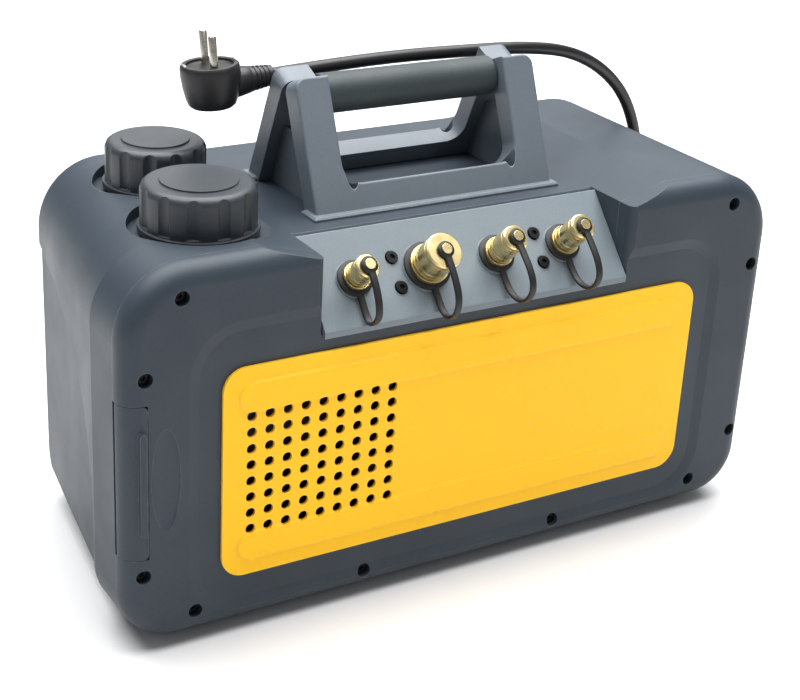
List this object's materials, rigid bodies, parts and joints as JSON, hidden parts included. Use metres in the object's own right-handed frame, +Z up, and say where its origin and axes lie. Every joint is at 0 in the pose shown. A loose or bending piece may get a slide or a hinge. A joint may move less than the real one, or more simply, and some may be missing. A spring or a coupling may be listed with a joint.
{
  "type": "hvac vacuum pump",
  "caption": "Carry-case vacuum pump with capped flare ports, vented front panel, two screw-capped oil tanks, A-frame handle and mains cord with plug.",
  "frame": {"origin": "centre of the footprint on the floor, cord and plug left out", "axes": "+X right along the front, +Y from the front to the back, +Z up"},
  "size_m": [0.5735, 0.3013, 0.3219],
  "materials": {
    "case_plastic": "fine textured slate grey ABS",
    "yellow_panel": "smooth yellow polycarbonate",
    "port_plate": "fine textured lighter slate plastic",
    "bay_plastic": "black moulded plastic",
    "cap_plastic": "charcoal moulded plastic",
    "handle_plastic": "fine textured slate grey nylon",
    "grip_rubber": "soft dark grip",
    "brass": "turned brass, light tarnish",
    "black_rubber": "black moulded rubber",
    "screw_steel": "dark zinc plated steel",
    "cast_aluminium": "sand cast and machined",
    "steel": "rolled and ground steel",
    "cast_iron": "painted cast iron",
    "vane_composite": "carbon filled composite",
    "copper": "drawn copper tube",
    "tank_plastic": "natural polyethylene",
    "fan_plastic": "black glass filled nylon",
    "circuit_board": "green solder mask",
    "switch_frame": "black nylon",
    "switch_key": "glossy black rocker",
    "cord_black": "black rubber sheath",
    "plug_black": "black moulded PVC",
    "pin_nickel": "nickel plated brass"
  },
  "bodies": {
    "case": {"base_plate": "steel", "cable_gland": "plug_black", "control_board": "circuit_board", "cord_coil": "cord_black", "cord_lead": "cord_black", "cord_run": "cord_black", "cord_tie": "plug_black", "door_hinge_pin": "screw_steel", "drain_valve": "brass", "feet": "black_rubber", "fresh_oil_tank": "tank_plastic", "front_cover": "case_plastic", "front_panel": "yellow_panel", "handle_front_frame": "handle_plastic", "handle_grip": "grip_rubber", "handle_rear_frame": "handle_plastic", "main_housing": "case_plastic", "manifold_block": "cast_aluminium", "motor_bearings": "steel", "motor_end_bells": "cast_aluminium", "motor_housing": "cast_aluminium", "motor_stator": "steel", "plug_body": "plug_black", "plug_pins": "pin_nickel", "port_fitting_five_sixteenths": "brass", "port_fitting_five_sixteenths_spare": "brass", "port_fitting_half": "brass", "port_fitting_quarter": "brass", "port_panel": "port_plate", "port_strap_five_sixteenths": "black_rubber", "port_strap_five_sixteenths_spare": "black_rubber", "port_strap_half": "black_rubber", "port_strap_quarter": "black_rubber", "pump_covers": "cast_aluminium", "pump_cylinder": "cast_iron", "screws": "screw_steel", "suction_pipe": "copper", "switch_bezel": "switch_frame", "valve_bay": "bay_plastic", "waste_oil_tank": "tank_plastic"},
    "door": {"corner_door": "case_plastic"},
    "drain_lever": {"drain_lever": "screw_steel"},
    "shaft": {"motor_rotor": "steel", "cooling_fan": "fan_plastic", "pump_rotor": "steel"},
    "front_vane": {"pump_vane_front": "vane_composite"},
    "rear_vane": {"pump_vane_rear": "vane_composite"},
    "switch_key": {"switch_rocker": "switch_key"},
    "fresh_cap_seal": {"fresh_oil_seal": "black_rubber"},
    "fresh_cap": {"fresh_oil_cap": "cap_plastic"},
    "waste_cap_seal": {"waste_oil_seal": "black_rubber"},
    "waste_cap": {"waste_oil_cap": "cap_plastic"},
    "quarter_cap_seal": {"port_seal_quarter": "black_rubber"},
    "quarter_cap": {"port_cap_quarter": "brass"},
    "half_cap_seal": {"port_seal_half": "black_rubber"},
    "half_cap": {"port_cap_half": "brass"},
    "five_sixteenths_cap_seal": {"port_seal_five_sixteenths": "black_rubber"},
    "five_sixteenths_cap": {"port_cap_five_sixteenths": "brass"},
    "five_sixteenths_spare_cap_seal": {"port_seal_five_sixteenths_spare": "black_rubber"},
    "five_sixteenths_spare_cap": {"port_cap_five_sixteenths_spare": "brass"}
  },
  "joints": [
    {"name": "door_swing", "type": "hinge", "parent": "case", "child": "door", "pos_m": [-0.2185, -0.08169, 0.1095], "axis": [0, 0, -1], "range_deg": [0, 90]},
    {"name": "drain_lever_turn", "type": "hinge", "parent": "case", "child": "drain_lever", "pos_m": [-0.199, -0.07389, 0.092], "axis": [0, -1, 0], "range_deg": [0, 90]},
    {"name": "shaft_spin", "type": "hinge", "parent": "case", "child": "shaft", "pos_m": [0.02, 0.01411, 0.084], "axis": [1, 0, 0], "continuous": true},
    {"name": "front_vane_slide", "type": "slide", "parent": "shaft", "child": "front_vane", "axis": [0, -1, 0], "range_m": [0, 0.0035]},
    {"name": "rear_vane_slide", "type": "slide", "parent": "shaft", "child": "rear_vane", "axis": [0, 1, 0], "range_m": [0, 0.0035]},
    {"name": "switch_rock", "type": "hinge", "parent": "case", "child": "switch_key", "pos_m": [0.209, 0.05511, 0.106], "axis": [0, 1, 0], "range_deg": [-7, 7]},
    {"name": "fresh_oil_cap_lift", "type": "slide", "parent": "case", "child": "fresh_cap_seal", "axis": [0, 0, 1], "range_m": [0, 0.014]},
    {"name": "fresh_oil_cap_turn", "type": "hinge", "parent": "fresh_cap_seal", "child": "fresh_cap", "pos_m": [-0.149, -0.03089, 0.255], "axis": [0, 0, 1], "range_deg": [0, 720]},
    {"name": "waste_oil_cap_lift", "type": "slide", "parent": "case", "child": "waste_cap_seal", "axis": [0, 0, 1], "range_m": [0, 0.014]},
    {"name": "waste_oil_cap_turn", "type": "hinge", "parent": "waste_cap_seal", "child": "waste_cap", "pos_m": [-0.141, 0.04611, 0.255], "axis": [0, 0, 1], "range_deg": [0, 720]},
    {"name": "quarter_cap_pull", "type": "slide", "parent": "case", "child": "quarter_cap_seal", "axis": [0, -0.7431, 0.6691], "range_m": [0, 0.03], "deforming": ["port_strap_quarter"]},
    {"name": "quarter_cap_turn", "type": "hinge", "parent": "quarter_cap_seal", "child": "quarter_cap", "pos_m": [-0.0745, -0.07449, 0.19944], "axis": [0, -0.7431, 0.6691], "range_deg": [0, 1080]},
    {"name": "half_cap_pull", "type": "slide", "parent": "case", "child": "half_cap_seal", "axis": [0, -0.7431, 0.6691], "range_m": [0, 0.03], "deforming": ["port_strap_half"]},
    {"name": "half_cap_turn", "type": "hinge", "parent": "half_cap_seal", "child": "half_cap", "pos_m": [-0.0268, -0.07449, 0.19944], "axis": [0, -0.7431, 0.6691], "range_deg": [0, 1080]},
    {"name": "five_sixteenths_cap_pull", "type": "slide", "parent": "case", "child": "five_sixteenths_cap_seal", "axis": [0, -0.7431, 0.6691], "range_m": [0, 0.03], "deforming": ["port_strap_five_sixteenths"]},
    {"name": "five_sixteenths_cap_turn", "type": "hinge", "parent": "five_sixteenths_cap_seal", "child": "five_sixteenths_cap", "pos_m": [0.0209, -0.07449, 0.19944], "axis": [0, -0.7431, 0.6691], "range_deg": [0, 1080]},
    {"name": "five_sixteenths_spare_cap_pull", "type": "slide", "parent": "case", "child": "five_sixteenths_spare_cap_seal", "axis": [0, -0.7431, 0.6691], "range_m": [0, 0.03], "deforming": ["port_strap_five_sixteenths_spare"]},
    {"name": "five_sixteenths_spare_cap_turn", "type": "hinge", "parent": "five_sixteenths_spare_cap_seal", "child": "five_sixteenths_spare_cap", "pos_m": [0.0686, -0.07449, 0.19944], "axis": [0, -0.7431, 0.6691], "range_deg": [0, 1080]}
  ]
}
